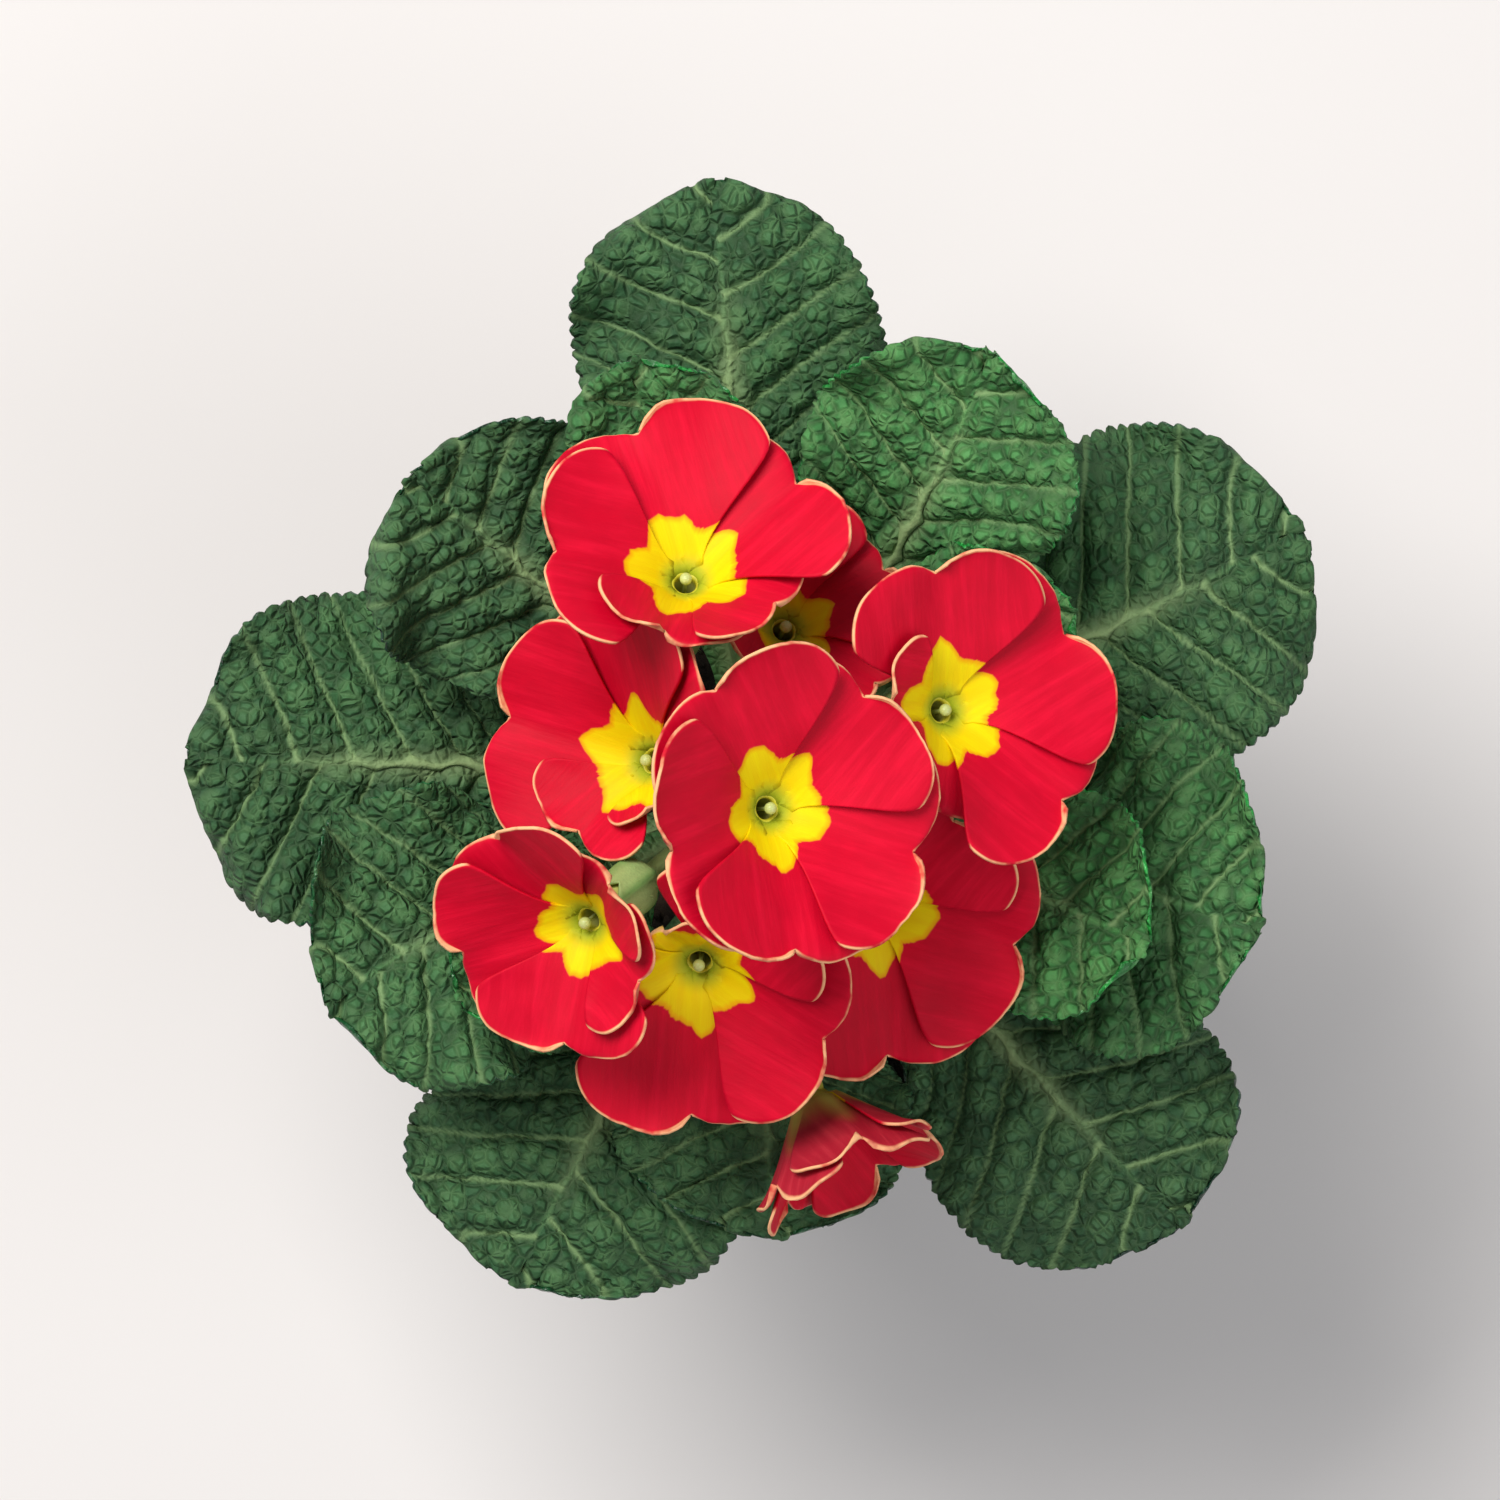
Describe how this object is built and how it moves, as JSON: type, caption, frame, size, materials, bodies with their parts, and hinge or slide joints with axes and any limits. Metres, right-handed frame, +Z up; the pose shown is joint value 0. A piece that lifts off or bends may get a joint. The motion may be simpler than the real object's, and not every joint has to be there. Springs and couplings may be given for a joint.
{
  "type": "potted primrose",
  "caption": "Primrose in a plain nursery pot: red notched-petal blooms with yellow star eyes on green stalks over a rosette of quilted leaves.",
  "frame": {"origin": "middle of the pot's foot, on the surface it stands on", "axes": "+Z up, +Y the picture's upward direction, +X its right"},
  "size_m": [0.1462, 0.1446, 0.1734],
  "materials": {
    "pot_plastic": "matte charcoal moulded plastic",
    "compost": "loose dark peat compost",
    "rootstock": "rough fleshy crown with old leaf bases",
    "leaf": "quilted, slightly glossy green leaf with pale ribs",
    "petal": "velvety crimson petal with a thin pale edge",
    "eye": "bright yellow eye and tube",
    "calyx": "pale green ribbed calyx and stalk"
  },
  "bodies": {
    "root": {"pot": "pot_plastic", "soil": "compost", "crown": "rootstock", "leaf_outer_1": "leaf", "leaf_outer_2": "leaf", "leaf_outer_3": "leaf", "leaf_outer_4": "leaf", "leaf_outer_5": "leaf", "leaf_middle_1": "leaf", "leaf_middle_2": "leaf", "leaf_middle_3": "leaf", "leaf_middle_4": "leaf", "leaf_middle_5": "leaf", "leaf_inner_1": "leaf", "leaf_inner_2": "leaf", "leaf_inner_3": "leaf", "leaf_inner_4": "leaf", "bloom_a_petals": "petal", "bloom_a_eye": "eye", "bloom_a_calyx": "calyx", "bloom_b_petals": "petal", "bloom_b_eye": "eye", "bloom_b_calyx": "calyx", "bloom_c_petals": "petal", "bloom_c_eye": "eye", "bloom_c_calyx": "calyx", "bloom_d_petals": "petal", "bloom_d_eye": "eye", "bloom_d_calyx": "calyx", "bloom_e_petals": "petal", "bloom_e_eye": "eye", "bloom_e_calyx": "calyx", "bloom_f_petals": "petal", "bloom_f_eye": "eye", "bloom_f_calyx": "calyx", "bloom_g_petals": "petal", "bloom_g_eye": "eye", "bloom_g_calyx": "calyx", "bloom_h_petals": "petal", "bloom_h_eye": "eye", "bloom_h_calyx": "calyx", "bloom_i_petals": "petal", "bloom_i_eye": "eye", "bloom_i_calyx": "calyx"}
  },
  "joints": []
}
